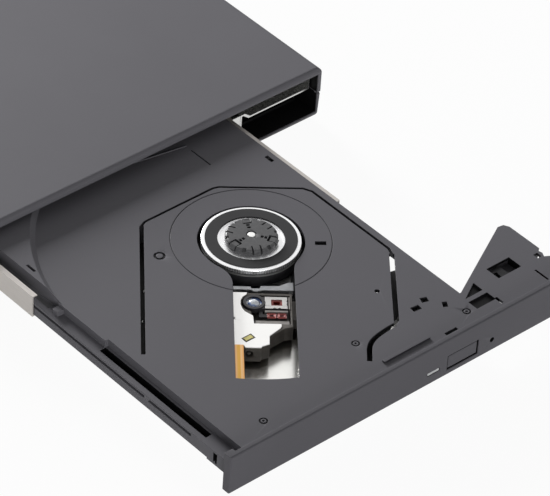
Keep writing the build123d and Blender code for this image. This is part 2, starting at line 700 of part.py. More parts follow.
def tray():
    """The moulded tray: deck, deep walls, left bead, right bead, raised corner and wing."""
    front = bezel_t
    body = block(skirt_x, tray_x1, front, tray_back, deck_under, deck_z)
    body += block(skirt_x, skirt_x + wall, front, tray_back, bead_low, deck_z)
    body += block(skirt_x - 1.1, skirt_x + 0.1, 58.3, 78.5, bead_top - 0.2, deck_z)
    body += block(skirt_x - 0.8, skirt_x + 0.1, 78.5, tray_back, bead_top - 0.2, deck_z)
    body += block(bead_x, skirt_x + 0.1, front, tray_back, bead_low, bead_top)
    body += block(bead_x + 0.9, skirt_x + wall, front, 12.6, tray_low, bead_low + 0.1)
    body += block(skirt_x, skirt_x + wall, front, deep_back, tray_low, bead_low + 0.1)
    body += block(tray_x1 - wall, tray_x1, front, tray_back, bead_low, deck_z)
    body += block(tray_x1 - wall, tray_x1, front, deep_back, tray_low, bead_low + 0.1)
    bead_z0 = right_rail_low + rail_t + running
    bead_z1 = right_rail_top - rail_t - running
    body += block(tray_x1 - 0.1, tray_x1 + 1.4, 31.0, tray_back, bead_z0, bead_z1)
    body += block(skirt_x, tray_x1, front, front + wall, tray_low, deck_z)
    body += block(skirt_x, tray_x1, deep_back - wall, deep_back, tray_low, deck_z)
    raised = block(skirt_x - 0.8, hub_x, hub_y + 8, tray_back, deck_z - 0.1, deck_z + rim_up)
    body += raised - recess_cut()
    rear_right = block(hub_x, tray_x1, hub_y + disc_r * 0.8, tray_back, deck_z - 0.1, deck_z + rim_up)
    body += rear_right - recess_cut()
    body += plate(wing_outline(), wing_under, deck_z)
    body += wing_skirt()
    for x, y in tray_screw_spots():
        body += post(x, y, tray_low, deck_under + 0.2, 1.9)
    body -= block(3.7, 5.8, 14.2, 58.3, bead_low + 0.6, bead_top + 1)
    body -= block(3.7, 5.8, 80.5, tray_back - 4, bead_low - 1, bead_top + 1)
    groove_z = (bead_low + bead_top) / 2 + 0.95
    for y0, y1 in ((18.3, 35.8), (37.5, tray_back - 6)):
        body -= block(bead_x - 1, bead_x + 0.8, y0, y1, groove_z - bead_groove / 2, groove_z + bead_groove / 2)
    body -= block(bead_x - 1, bead_x + 1.6, 7.6, 9.2, clip_slot_low, bead_top - 0.6)
    body += block(3.4, skirt_x + 0.1, 76.0, 78.2, bead_top - 0.1, bead_top + 1.6)
    body -= window_cut(deck_under - 0.1, deck_z + 1)
    body -= relief_cut(deck_under - 0.1, deck_z + 1)
    body -= wing_cuts(wing_under - 0.1, deck_z + 1)
    body += wing_floors()
    body -= deck_holes(deck_under - 0.1, deck_z + 1)
    body -= ring_groove(hub_x - 24.7, hub_y + 10.1, 1.7, 1.0, 0.45)
    body -= ring_groove(hub_x, hub_y, label_r + 0.15, label_r - 0.15, 0.15)
    body -= block(hub_x + 12.7, hub_x + 13.2, hub_y + 32.7, hub_y + 41.2, deck_z - 0.3, deck_z + 1)
    rib = Pos(hub_x + 3.5, hub_y + 45.2, deck_z) * Rot(0, 0, -10) * Box(19.3, 0.4, 0.4)
    body += rib
    for x, y in tray_screw_spots():
        body -= post(x, y, tray_low - 1, deck_under - 0.6, 0.6)
    opening_top = button_low + button_h + 0.4
    body -= block(bx - 1.3, bx + button_w + 1.3, front - 1, front + wall + 1, tray_low - 1, opening_top)
    pipe_x = mid_x + led_x
    half = led_h / 2
    body -= block(pipe_x, pipe_x + led_w, front - 1, front + wall + 1, led_z - half, led_z + half)
    body -= bar_y(mid_x + pin_hole_x, front - 1, front + wall + 1, pin_hole_z, pin_hole_r + 0.2)
    for x in (board_x0, board_x1 - 1.0):
        body += block(x, x + 1.0, board_y - 1.2, board_y, 6.4, deck_under + 0.1)
    body -= block(tray_x1 - wall - 0.1, tray_x1 + 0.2, hub_y - 31.6, hub_y - 20.6, tray_low - 1, 6.4)
    for x, y in ((hub_x - 6.5, 16.5), (18.2, 8.0), (hub_x + 26.7, 8.0)):
        body -= ring_groove(x, y, 1.25, 0.8, 0.35)
        body -= post(x, y, deck_z - 0.5, deck_z + 1, 0.35)
    body -= block(7.3, 8.1, 91.2, 94.8, deck_z - 0.5, deck_z + rim_up + 1)
    body += block(hub_x - 5.9, hub_x + 10.9, 5.6, 6.6, deck_z - 0.1, deck_z + 0.5)
    return body


label_r = 22.6           # fine circle around the spindle
clip_slot_low = 2.9      # lower end of the slot at the bead's front, where the bezel clips in
wing_under = deck_z - 1.0
wing_low = right_floor + running


def ring_groove(x, y, r_out, r_in, deep):
    """A round groove in the deck's top."""
    ring = post(x, y, deck_z - deep, deck_z + 0.2, r_out)
    return ring - post(x, y, deck_z - 1, deck_z + 1, r_in)


latch_x = 47.0 + hub_x
pin_from_pivot = (-4.0, 2.4)


def wing_skirt():
    """Stiffening walls below the wing, right of the chassis's step, with a gate for the latch pin."""
    x0 = step_wall_x + 4.0
    rim = plate(wing_outline(), wing_low, wing_under + 0.1) - inner_wing()
    rim = rim & block(x0, bezel_w, bezel_t, 40, wing_low, wing_under + 0.1)
    px = latch_x + pin_from_pivot[0]
    return rim - block(px - 1.3, px + 1.3, 10, 40, wing_low - 1, wing_under)


def inner_wing():
    """The wing's outline drawn in by the thickness of its skirt."""
    x0 = tray_x1 + 1.5
    x1 = bezel_w - wing_reach - 0.9
    points = [(x0, bezel_t - 1), (x1, bezel_t - 1), (x1, 27.0), (x1 - 1.4, 28.3), (x0, 14.2)]
    return plate(points, wing_low - 1, wing_under + 0.2)


def tray_bottom_cover():
    """Bright steel sheet under the tray's deep part."""
    sheet_body = block(skirt_x + 0.3, tray_x1 - 0.3, bezel_t + 1.5, deep_back - 0.2, tray_low - 0.4, tray_low)
    for x, y in tray_screw_spots():
        sheet_body -= post(x, y, 0, tray_low + 1, 0.8)
    sheet_body -= block(hub_x + 24.6, tray_x1 + 1, hub_y - 31.6, hub_y - 20.6, 0, tray_low + 1)
    return sheet_body - post(hub_x + 20.0, hub_y - 30.4, 0, tray_low + 1, 1.4)


def tray_screws():
    items = []
    for x, y in tray_screw_spots():
        one = screw(0, 0, 0, 1.4, 0.2, 0.5, 4.2)
        items.append(Pos(x, y, tray_low - 0.6) * Rot(180, 0, 0) * one)
    return group(items)


# ---- bezel and eject parts ----
bx = mid_x + button_x


def bezel():
    body = block(0, bezel_w, 0, bezel_t, 0, drive_h)
    front = body.faces().sort_by(Axis.Y)[0].edges()
    body = fillet(front, 0.5)
    body -= block(bezel_t, bezel_w - bezel_t, bezel_rim_t, bezel_t + 1, deck_z + 0.02, drive_h + 1)
    low = button_low - button_gap
    high = button_low + button_h + button_gap
    body -= block(bx - button_gap, bx + button_w + button_gap, -1, bezel_t + 1, low, high)
    pipe_x = mid_x + led_x
    body -= block(pipe_x, pipe_x + led_w, -1, bezel_t + 1, led_z - led_h / 2, led_z + led_h / 2)
    body -= bar_y(mid_x + pin_hole_x, -1, bezel_t + 1, pin_hole_z, pin_hole_r)
    return body


def eject_button():
    """Rocker cap in the bezel with its stem behind."""
    cap = block(bx, bx + button_w, button_inset, bezel_t + 0.3, button_low, button_low + button_h)
    cap = fillet(cap.faces().sort_by(Axis.Y)[0].edges(), 0.4)
    stem_x = bx + button_w / 2
    z = button_low
    stem = block(stem_x - 1.5, stem_x + 1.5, bezel_t + 0.4, button_back, z + 1.1, z + 2.9)
    flange = block(bx - 0.9, bx + button_w + 0.9, bezel_t + 0.2, bezel_t + 0.7, z + 1.0, z + 3.0)
    return cap + stem + flange


button_inset = 0.2
button_back = bezel_t + wall + 1.1
board_x0 = mid_x + led_x - 3.2
board_x1 = bx + button_w - 0.4
board_y = bezel_t + wall + 3.1


def led_light_pipe():
    """Clear strip that carries the lamp's light into the bezel."""
    x0 = mid_x + led_x
    z0 = led_z - led_h / 2
    strip = block(x0 + 0.1, x0 + led_w - 0.1, 0.25, bezel_t + wall + 1.0, z0 + 0.1, z0 + led_h - 0.1)
    return strip


def switch_board():
    """Small board behind the tray's front wall with the eject switch and the lamp."""
    y0 = bezel_t + wall + 1.3
    board = block(board_x0, board_x1, board_y, board_y + 0.8, tray_low + 0.3, 7.4)
    switch_x = bx + button_w / 2
    z = button_low
    switch = block(switch_x - 2.6, switch_x + 2.6, y0 + 0.9, board_y + 0.1, z + 0.6, z + 3.4)
    x0 = mid_x + led_x
    lamp = block(x0 + 0.8, x0 + led_w - 0.8, y0, board_y + 0.1, led_z - 0.8, led_z + 0.8)
    return board + switch + lamp


latch_z0 = wing_low + 0.1
hook_pivot = (latch_x, 12.0)


def latch_solenoid():
    """Coil and yoke under the wing that hold the latch."""
    x0 = latch_x + 4.8
    yoke = block(x0, x0 + 7.6, 5.2, 10.4, latch_z0, wing_under)
    yoke -= block(x0 - 1, x0 + 6.6, 6.0, 9.6, latch_z0 - 1, wing_under - 0.3)
    coil = bar_x(x0 + 0.2, x0 + 6.7, 7.8, (latch_z0 + wing_under) / 2, 0.85)
    return yoke + coil


def latch_hook():
    """Lever on a pivot below the wing; its nose catches the chassis's pin."""
    x, y = hook_pivot
    z0 = latch_z0 + 0.65
    z1 = z0 + 0.85
    arm = plate([(x - 1.5, y), (x + 1.5, y), (x + 1.5, y + 5.0), (x - 0.4, y + 6.2), (x - 3.0, y + 5.1),
                 (x - 3.0, y + 4.5), (x - 0.9, y + 4.3)], z0, z1)
    tail = block(x - 0.8, x + 3.2, y - 4.2, y - 2.6, z0, z1)
    neck = block(x - 0.8, x + 0.8, y - 3.0, y, z0, z1)
    ring = post(x, y, z0, z1, 1.6)
    return arm + tail + neck + ring - post(x, y, z0 - 1, z1 + 1, 0.6 + fit)


def latch_pivot():
    """Pivot pin moulded-in below the wing."""
    x, y = hook_pivot
    return post(x, y, latch_z0 + 0.05, wing_under, 0.6)


def latch_pin():
    """Pin on the chassis's raised floor that the hook catches with the tray shut."""
    x, y = hook_pivot
    return post(x + pin_from_pivot[0], y + pin_from_pivot[1], right_floor, latch_z0 + 1.6, 0.7)


# ---- rails ----
def left_rail():
    """Folded steel channel around the tray's left bead."""
    y0 = left_rail_from - tray_out
    x0 = left_rail_x
    x1 = x0 + left_rail_w
    y1 = y0 + left_rail_len
    rail = block(x0, x0 + rail_t, y0, y1, left_rail_low, left_rail_top)
    rail += block(x0, x1, y0, y1, left_rail_low, left_rail_low + rail_t)
    rail += block(x0, x1, y0, y1, left_rail_top - rail_t, left_rail_top)
    return rail


def right_rail():
    """Folded steel channel around the tray's right bead."""
    y0 = right_rail_from - tray_out
    y1 = y0 + right_rail_len
    x0 = right_rail_x0
    x1 = right_rail_x1
    rail = block(x1 - rail_t, x1, y0, y1, right_rail_low, right_rail_top)
    rail += block(x0, x1, y0, y1, right_rail_low, right_rail_low + rail_t)
    rail += block(x0, x1, y0, y1, right_rail_top - rail_t, right_rail_top)
    return rail


# ---- traverse: frame, rods, motors ----
frame_low = tray_low + running
frame_t = 1.4
rod_z = inner_mid + 0.1
rod_a_end = 69.0
rod_b_end = 65.0
rod_start = 15.2
screw_end = 62.0


def traverse_frame():
    """Cast frame around the spindle with two arms for the guide rods."""
    base = block(-17, 15, -14.5, 18, frame_low, frame_low + frame_t)
    base -= post(0, 0, frame_low - 1, frame_low + 3, 4.2)
    arm_a = block(14, rod_a_end + 1.2, -14.6, -12.6, frame_low, frame_low + frame_t)
    arm_b = block(14, rod_b_end + 1.2, 15.2, 17.6, frame_low, frame_low + frame_t)
    body = base + arm_a + arm_b
    for s, end in ((rod_a, rod_a_end), (rod_b, rod_b_end)):
        out = -1 if s < 0 else 1
        s0, s1 = (s - 2.2, s + 1.6) if out < 0 else (s - 1.6, s + 4.1)
        for r0 in (rod_start - 0.8, end - 1.2):
            ear = block(r0, r0 + 2.2, s0, s1, frame_low, rod_z + rod_r + 0.7)
            body += ear
        body -= bar_x(rod_start, end, s, rod_z, rod_r)
    mount = block(15.8, 17.0, screw_s - 3.2, -13.3, frame_low, rod_z + 2.2)
    mount -= bar_x(14, 18, screw_s, rod_z, screw_r + fit)
    bearing = block(screw_end + 0.2, screw_end + 1.4, screw_s - 1.5, -13.3, frame_low, rod_z + 1.7)
    bearing -= bar_x(screw_end - 2, screw_end + 4, screw_s, rod_z, screw_tip_r + fit)
    body += mount + bearing
    for r, s in damper_spots():
        body += post(r, s, frame_low, frame_low + frame_t, 3.0)
    for r, s in damper_spots():
        body -= post(r, s, frame_low - 1, frame_low + 4, 1.75)
    return body


screw_tip_r = 0.55


def damper_spots():
    """Rubber mounts of the traverse."""
    return [(-14.5, -12.0), (-14.5, 15.5), (50.0, 18.4)]


def traverse_dampers():
    items = []
    for r, s in damper_spots():
        grommet = post(r, s, tray_low, frame_low + frame_t + 0.7, 1.7)
        grommet += post(r, s, frame_low + frame_t, frame_low + frame_t + 0.7, 2.4)
        grommet -= post(r, s, 0, 9, 0.75)
        items.append(grommet)
    return group(items)


def damper_screws():
    items = []
    for r, s in damper_spots():
        shank = post(r, s, tray_low, deck_under, 0.65)
        head = post(r, s, frame_low + frame_t + 0.75, frame_low + frame_t + 1.2, 1.6)
        items.append(shank + head)
    return group(items)


def guide_rods():
    rod_one = bar_x(rod_start, rod_a_end, rod_a, rod_z, rod_r)
    rod_two = bar_x(rod_start, rod_b_end, rod_b, rod_z, rod_r)
    return group([rod_one, rod_two])


def stepper_motor():
    """Sled motor: a can with a front plate."""
    can = bar_x(4.0, 15.6, screw_s, rod_z, stepper_r)
    can -= bar_x(12, 17, screw_s, rod_z, screw_r + 0.2)
    return can


def lead_screw():
    """Threaded shaft: a core with a helical groove's outline as close collars."""
    shaft = bar_x(13.0, screw_end, screw_s, rod_z, screw_r - 0.35)
    shaft += bar_x(13.0, 17.6, screw_s, rod_z, screw_r - 0.05)
    shaft += bar_x(screw_end - 0.5, screw_end + 1.3, screw_s, rod_z, screw_tip_r)
    turns = int((screw_end - 18.0) / screw_pitch)
    for k in range(turns):
        r0 = 18.0 + k * screw_pitch
        shaft += bar_x(r0, r0 + screw_pitch * 0.55, screw_s, rod_z, screw_r)
    flat = block(14.0, screw_end, screw_s + screw_r - 0.18, screw_s + screw_r + 1, rod_z - 1.5, rod_z + 1.5)
    return shaft - flat


def motor_base():
    """Spindle motor's base plate, bearing tube and wound stator."""
    base = block(-11, 11, -11, 11, frame_low + frame_t, frame_low + frame_t + 0.4)
    base += post(0, 0, frame_low + frame_t, rotor_low + 2.4, 2.6)
    stator = post(0, 0, frame_low + frame_t + 0.7, rotor_low + 1.9, 10.2)
    teeth = 9
    for k in range(teeth):
        angle = 360 * k / teeth
        gap = Rot(0, 0, angle) * block(4.6, 11, -0.6, 0.6, 0, 12)
        stator -= gap
    base += stator
    base += post(0, 0, frame_low + frame_t + 0.3, frame_low + frame_t + 0.8, 4.0)
    base -= post(0, 0, frame_low + frame_t + 0.35, 12, shaft_r + fit)
    return base


rotor_low = frame_low + frame_t + 1.2
rotor_r = turntable_r - 0.35
plat_low = disc_z - 1.6


# ---- turntable ----
def motor_rotor():
    """Deep-drawn rotor cup with its shaft."""
    cup = post(0, 0, rotor_low, plat_low, rotor_r)
    cup -= post(0, 0, rotor_low - 1, plat_low - 0.8, rotor_r - 0.9)
    lip = post(0, 0, plat_low - 0.9, plat_low - 0.4, rotor_r + 0.35)
    lip -= post(0, 0, plat_low - 2, plat_low, rotor_r - 0.4)
    cup += lip
    tip = post(0, 0, frame_low + frame_t + 0.45, disc_z + hub_rise, shaft_r)
    tip = fillet(tip.edges().group_by(Axis.Z)[-1], 0.3)
    cup += tip
    return cup


def turntable_ring():
    """Bright turned table with a seat for the rubber ring and a dish inside it."""
    table = post(0, 0, plat_low, disc_z - 0.2, turntable_r)
    table = fillet(table.edges().group_by(Axis.Z)[-1], 0.35)
    table -= post(0, 0, disc_z - 0.7, disc_z + 1, rubber_out_r)
    table += post(0, 0, disc_z - 0.71, disc_z - 0.35, rubber_in_r)
    table = table - post(0, 0, disc_z - 0.6, disc_z + 1, rubber_in_r - 0.5)
    table -= post(0, 0, 0, 20, shaft_r)
    return table


def rubber_ring():
    ring = post(0, 0, disc_z - 0.7, disc_z, rubber_out_r - 0.02)
    return ring - post(0, 0, disc_z - 2, disc_z + 1, rubber_in_r + 0.02)


claw_from = 72.0         # first claw, from the direction of travel
claw_in = 5.4            # claws begin at this radius


def claw_turn(k):
    return Rot(0, 0, claw_from + k * 360 / claw_count)


def centring_hub():
    """Moulded hub with slots for the sprung claws and slit tabs between them."""
    low = disc_z - 0.6
    top = disc_z + hub_rise
    hub = post(0, 0, low, top, hub_r)
    hub = chamfer(hub.edges().group_by(Axis.Z)[-1], 0.5)
    for k in range(claw_count):
        hub -= claw_turn(k) * block(claw_in - 0.6, hub_r + 1, -1.35, 1.35, disc_z - 0.2, top + 1)
        for r0 in (2.7, 3.8):
            hub -= claw_turn(k) * block(r0, r0 + 0.75, -0.5, 0.5, top - 0.8, top + 1)
        tab = claw_turn(k) * Rot(0, 0, 180 / claw_count)
        for side in (-1, 1):
            slit = block(5.0, hub_r + 1, side * 1.2 - 0.22, side * 1.2 + 0.22, disc_z - 0.2, top + 1)
            hub -= tab * slit
            hub -= claw_turn(k) * Rot(0, 0, side * 30) * block(6.5, hub_r + 1, -0.5, 0.5, top - 0.9, top + 1)
    rim = post(0, 0, top - 0.3, top + 1, shaft_r + 0.4)
    hub -= rim
    hub -= post(0, 0, low - 1, top + 1, shaft_r)
    return hub


def hub_claw(k):
    """Sprung claw that grips the disc's hole from inside."""
    z0 = disc_z - 0.15
    z1 = disc_z + hub_rise - 0.05
    body = block(claw_in, hub_r - 0.4, -1.0, 1.0, z0, z1 - 0.1)
    points = [(hub_r - 0.5, z0), (hub_r - 0.1, z0), (hub_r + 0.3, disc_z + 0.45), (hub_r - 0.5, z1)]
    nose = plate_xz(points, -1.0, 1.0)
    return claw_turn(k) * (body + nose)


# ---- pickup ----
sled_low = frame_low + 1.1
pickup_top = deck_under - 0.65
cover_low = pickup_top - 0.45
sled_end = 43.8          # carriage's outer face, from the hub


def pickup_body():
    """Cast carriage: open tub for the lens's actuator, rod bearings and the solid outer end."""
    z0 = sled_low
    z1 = cover_low
    outline = [(20.3, -5.6), (20.3, 10.8), (34.4, 10.8), (35.0, 8.4), (38.7, 4.3), (42.1, 4.2), (43.1, 2.1),
               (sled_end, 1.8), (sled_end, -2.6), (42.7, -2.9), (42.7, -5.6)]
    body = plate(outline, z0, z1)
    body -= block(21.2, 33.2, -0.5, 10.2, z0 + 0.9, z1 + 1)
    body -= post(lens_at, lens_side, pickup_top - 2.7, z1 + 1, 3.5)
    body -= bar_x(sled_end - 1.5, sled_end + 1, -1.4, z1 - 1.9, 1.15)
    body += bar_x(sled_end - 1.6, sled_end - 0.3, -1.4, z1 - 1.9, 0.5)
    body -= bar_x(sled_end - 1.0, sled_end + 1, 3.0, z1 - 2.0, 0.3)
    bearing_low = rod_z - 1.6
    bearing_high = rod_z + 1.6
    for r0 in (20.6, 30.7):
        body += block(r0, r0 + 4.2, rod_a - 1.9, -5.4, bearing_low, bearing_high)
    body -= bar_x(20, 40, rod_a, rod_z, rod_r + fit)
    body += block(22.5, 30.5, 10.6, rod_b + 1.6, bearing_low, bearing_high)
    body -= block(20, 33, rod_b - rod_r - fit, rod_b + 3, rod_z - rod_r - fit, rod_z + rod_r + fit)
    return body


def nut_finger():
    """Sprung moulding that follows the lead screw's thread."""
    z_mid = rod_z
    finger = block(25.2, 29.2, screw_s + screw_r + 0.15, rod_a - 1.6, z_mid + 0.2, z_mid + 1.5)
    finger += block(25.2, 29.2, rod_a - 1.9, rod_a + 1.9, z_mid + rod_r + 0.3, z_mid + rod_r + 1.1)
    finger += block(25.0, 30.5, rod_a + 1.5, -5.6, z_mid - 1.0, z_mid + 1.5)
    return finger


def pickup_cover():
    """Bright sheet over the carriage, stepped around the lens and its actuator."""
    z0 = cover_low
    z1 = z0 + 0.3
    outline = [(20.4, -5.7), (20.4, -1.5), (21.2, -1.7), (22.2, -2.7), (23.6, -3.3), (25.4, -3.4),
               (27.1, -3.0),
               (28.4, -2.3), (30.2, -0.1), (33.5, 0.1), (33.5, 7.6), (34.5, 7.6), (35.3, 7.2), (38.6, 4.2),
               (42.0, 4.1), (43.0, 2.1), (43.6, 1.8), (43.6, -2.5), (42.7, -2.8), (42.5, -5.7)]
    cover = plate(outline, z0, z1)
    cover -= post(31.4, -5.6, z0 - 1, z1 + 1, 0.5)
    return cover


actuator_side = 9.5      # outer side of the lens holder's arm


def actuator_yoke():
    """Bent steel yoke with two magnets beside the lens holder."""
    z0 = sled_low + 1.0
    z1 = pickup_top - 0.3
    yoke = block(21.4, 32.6, -0.4, 10.1, z0, z0 + 0.6)
    yoke += block(22.0, 27.0, actuator_side + 0.25, 10.1, z0, z1)
    yoke += block(27.4, 28.1, 3.2, actuator_side, z0, z1 - 0.2)
    yoke += block(31.2, 32.6, 0.6, 9.8, z0, z1 - 0.8)
    return yoke


def lens_holder():
    """Moulded holder: a cup for the lens and an arm with the coils."""
    z1 = pickup_top
    holder = post(lens_at, lens_side, z1 - 1.6, z1, 3.0)
    holder += block(22.1, 27.0, lens_side + 1.5, actuator_side, z1 - 1.8, z1 - 0.3)
    holder -= post(lens_at, lens_side, z1 - 0.8, z1 + 1, lens_r)
    holder -= post(lens_at, lens_side, z1 - 3, z1 + 1, lens_r - 0.5)
    holder -= block(23.1, 25.9, 4.9, 8.1, z1 - 3, z1 + 1)
    holder += block(26.8, 29.7, 1.6, 2.6, z1 - 1.8, z1 - 1.0)
    holder += block(28.6, 29.7, 1.6, 9.2, z1 - 1.8, z1 - 1.0)
    return holder


def focus_coil():
    """Flat copper winding in the window of the holder's arm."""
    z1 = pickup_top - 0.3
    coil = block(23.1, 25.9, 4.9, 8.1, z1 - 1.5, z1 - 0.1)
    coil -= block(23.8, 25.2, 5.6, 7.4, z1 - 3, z1 + 1)
    return coil


def objective_lens():
    """Aspheric lens, domed at the top."""
    z1 = pickup_top - 0.8
    disc = post(lens_at, lens_side, z1, z1 + 0.35, lens_r - 0.02)
    bulge = 0.85
    radius = (1.7 ** 2 + bulge ** 2) / (2 * bulge)
    dome = Pos(lens_at, lens_side, z1 + 0.3 + bulge - radius) * Sphere(radius)
    return disc + (dome & post(lens_at, lens_side, z1 + 0.3, z1 + 3, lens_r))


def pickup_flex():
    """Orange flexible print that lies along the window's left edge."""
    z0 = deck_under - 0.5
    strip = block(43.0, 62.0, -5.45, -3.0, z0, z0 + 0.15)
    return strip + block(59.2, 62.0, -5.45, -3.0, z0, deck_under)


# ---- build everything ----
os.makedirs("parts", exist_ok=True)

upright = tray_place * travel_place
spin_place = tray_place * Pos(hub_x, hub_y, 0) * Rot(0, 0, window_angle)

nodes = [
    ("upper_shell", upper_shell(), case_place),
    ("lower_shell", lower_shell(), case_place),
    ("rubber_feet", rubber_feet(), case_place),
    ("shell_screws", shell_screws(), case_place),
    ("bridge_board", bridge_board(), case_place),
    ("bridge_parts", bridge_parts(), case_place),
    ("bridge_screws", bridge_screws(), case_place),
    ("usb_socket", usb_socket(), case_place),
    ("power_jack", power_jack(), case_place),
    ("drive_connector", drive_connector(), case_place),
    ("drive_plug", drive_plug(), drive_place),
    ("chassis_base", chassis_base(), drive_place),
    ("chassis_top_cover", chassis_top_cover(), drive_place),
    ("chassis_screws", chassis_screws(), drive_place),
    ("left_rail_guide", left_rail_guide(), drive_place),
    ("right_rail_guide", right_rail_guide(), drive_place),
    ("main_board", main_board(), drive_place),
    ("board_parts", board_parts(), drive_place),
    ("board_screws", board_screws(), drive_place),
    ("flat_cable_lower", flat_cable_lower(), drive_place),
    ("latch_pin", latch_pin(), drive_place),
    ("flat_cable_loop", flat_cable_loop(), drive_place),
    ("left_rail", left_rail(), drive_place),
    ("right_rail", right_rail(), drive_place),
    ("tray", tray(), tray_place),
    ("tray_bottom_cover", tray_bottom_cover(), tray_place),
    ("tray_screws", tray_screws(), tray_place),
    ("bezel", bezel(), tray_place),
    ("led_light_pipe", led_light_pipe(), tray_place),
    ("switch_board", switch_board(), tray_place),
    ("latch_solenoid", latch_solenoid(), tray_place),
    ("latch_pivot", latch_pivot(), tray_place),
    ("latch_hook", latch_hook(), tray_place),
    ("eject_button", eject_button(), tray_place),
    ("traverse_frame", traverse_frame(), upright),
    ("traverse_dampers", traverse_dampers(), upright),
    ("damper_screws", damper_screws(), upright),
    ("guide_rods", guide_rods(), upright),
    ("stepper_motor", stepper_motor(), upright),
    ("lead_screw", lead_screw(), upright),
    ("motor_base", motor_base(), spin_place),
    ("motor_rotor", motor_rotor(), spin_place),
    ("turntable_ring", turntable_ring(), spin_place),
    ("rubber_ring", rubber_ring(), spin_place),
    ("centring_hub", centring_hub(), spin_place),
    ("pickup_body", pickup_body(), upright),
    ("nut_finger", nut_finger(), upright),
    ("pickup_cover", pickup_cover(), upright),
    ("actuator_yoke", actuator_yoke(), upright),
    ("lens_holder", lens_holder(), upright),
    ("focus_coil", focus_coil(), upright),
    ("objective_lens", objective_lens(), upright),
    ("pickup_flex", pickup_flex(), upright),
]
nodes += [(f"hub_claw_{k + 1}", hub_claw(k), spin_place) for k in range(claw_count)]

for name, shape, place in nodes:
    write(name, shape, place)
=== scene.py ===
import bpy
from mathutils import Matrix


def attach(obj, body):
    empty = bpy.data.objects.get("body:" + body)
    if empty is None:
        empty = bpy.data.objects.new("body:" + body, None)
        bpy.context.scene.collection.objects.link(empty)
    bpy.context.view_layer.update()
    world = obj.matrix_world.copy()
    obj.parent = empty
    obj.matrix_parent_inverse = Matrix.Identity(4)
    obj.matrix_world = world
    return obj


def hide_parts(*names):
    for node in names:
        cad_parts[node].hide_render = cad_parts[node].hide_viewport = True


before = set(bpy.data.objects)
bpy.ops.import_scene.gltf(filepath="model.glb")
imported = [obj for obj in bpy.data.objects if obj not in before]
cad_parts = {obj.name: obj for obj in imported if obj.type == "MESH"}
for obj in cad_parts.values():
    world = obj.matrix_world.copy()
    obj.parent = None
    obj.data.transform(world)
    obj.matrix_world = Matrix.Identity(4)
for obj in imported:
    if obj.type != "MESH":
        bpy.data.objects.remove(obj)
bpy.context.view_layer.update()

from math import radians

import bmesh
import bpy
from mathutils import Vector

# The camera: it looks down on the drive from its front left corner, through a long lens.
# Its place, turn and lens were fitted to the photograph's edges and circles.
camera = bpy.data.objects.new("camera", bpy.data.cameras.new("camera"))
camera.data.sensor_width = 36.0
camera.data.lens = 255.108
camera.data.clip_start = 0.05
camera.data.clip_end = 20.0
camera.location = (-0.575028, -0.673387, 0.693043)
camera.rotation_euler = (0.8887222, -0.0544511, -0.7175624)
bpy.context.scene.collection.objects.link(camera)
bpy.context.scene.camera = camera
bpy.context.scene.view_settings.view_transform = "Standard"


# The floor: a wide pale studio sheet that keeps the drive's soft shadow. To the camera and
# in reflections it is nearly white. Its finish is the first one written with the two
# classes here: a Link is one output of a node, and a Finish is one material.
class Link:
    def __init__(self, finish, socket):
        self.finish, self.socket = finish, socket

    def math(self, operation, first, second=0.0):
        return self.finish.node("ShaderNodeMath", {"operation": operation}, {0: first, 1: second})

    def __add__(self, other):
        return self.math("ADD", self, other)

    __radd__ = __add__

    def __mul__(self, other):
        return self.math("MULTIPLY", self, other)

    __rmul__ = __mul__

    def __sub__(self, other):
        return self.math("SUBTRACT", self, other)

    def __rsub__(self, other):
        return self.math("SUBTRACT", other, self)

    def __gt__(self, other):
        return self.math("GREATER_THAN", self, other)

    def __lt__(self, other):
        return self.math("LESS_THAN", self, other)

    def or_else(self, other):
        return self.math("MAXIMUM", self, other)


class Finish:
    def __init__(self, name, colour, rough, metal=0.0, coat=0.0):
        self.material = bpy.data.materials.new(name)
        self.material.use_nodes = True
        self.nodes = self.material.node_tree.nodes
        self.shader = self.nodes["Principled BSDF"]
        self.set("Base Color", colour)
        self.set("Roughness", rough)
        self.set("Metallic", metal)
        self.set("Coat Weight", coat)

    def feed(self, socket, value):
        if isinstance(value, Link):
            self.material.node_tree.links.new(value.socket, socket)
        else:
            socket.default_value = value

    def set(self, socket, value):
        self.feed(self.shader.inputs[socket], value)

    def node(self, kind, settings=None, sockets=None, out=0):
        """Adds a node: its settings first, then the values or links of its sockets."""
        node = self.nodes.new(kind)
        for name, value in (settings or {}).items():
            if name == "stops":
                for k, (place, colour) in enumerate(value):
                    stop = node.color_ramp.elements[k] if k < 2 else node.color_ramp.elements.new(place)
                    stop.position, stop.color = place, colour
            else:
                setattr(node, name, value)
        for name, value in (sockets or {}).items():
            self.feed(node.inputs[name], value)
        return Link(self, node.outputs[out])

    def place(self):
        return self.node("ShaderNodeTexCoord", out="Object")

    def vector(self, operation, first, second, out=0):
        return self.node("ShaderNodeVectorMath", {"operation": operation}, {0: first, 1: second}, out)

    def along(self, direction):
        """How far a point lies along a direction, in metres."""
        return self.vector("DOT_PRODUCT", self.place(), direction, "Value")

    def noise(self, scale, detail=2.0, where=None):
        sockets = {"Vector": where or self.place(), "Scale": scale, "Detail": detail}
        return self.node("ShaderNodeTexNoise", None, sockets)

    def stretched(self, scale, direction_scale, detail=2.0):
        """Noise drawn out along an axis, for brushed and rolled metal."""
        return self.noise(scale, detail, self.vector("MULTIPLY", self.place(), direction_scale))

    def blend(self, part, first, second):
        """Mixes two colours by a factor."""
        return self.node("ShaderNodeMix", {"data_type": "RGBA"}, {0: part, 6: first, 7: second}, out=2)

    def mottle(self, dark, light, scale, detail=2.0):
        """Varies the colour cloudily between two screen colours."""
        self.set("Base Color", self.blend(self.noise(scale, detail), screen(*dark), screen(*light)))

    def bump(self, height, depth):
        sockets = {"Height": height, "Distance": depth, "Strength": 1.0}
        self.set("Normal", self.node("ShaderNodeBump", None, sockets))


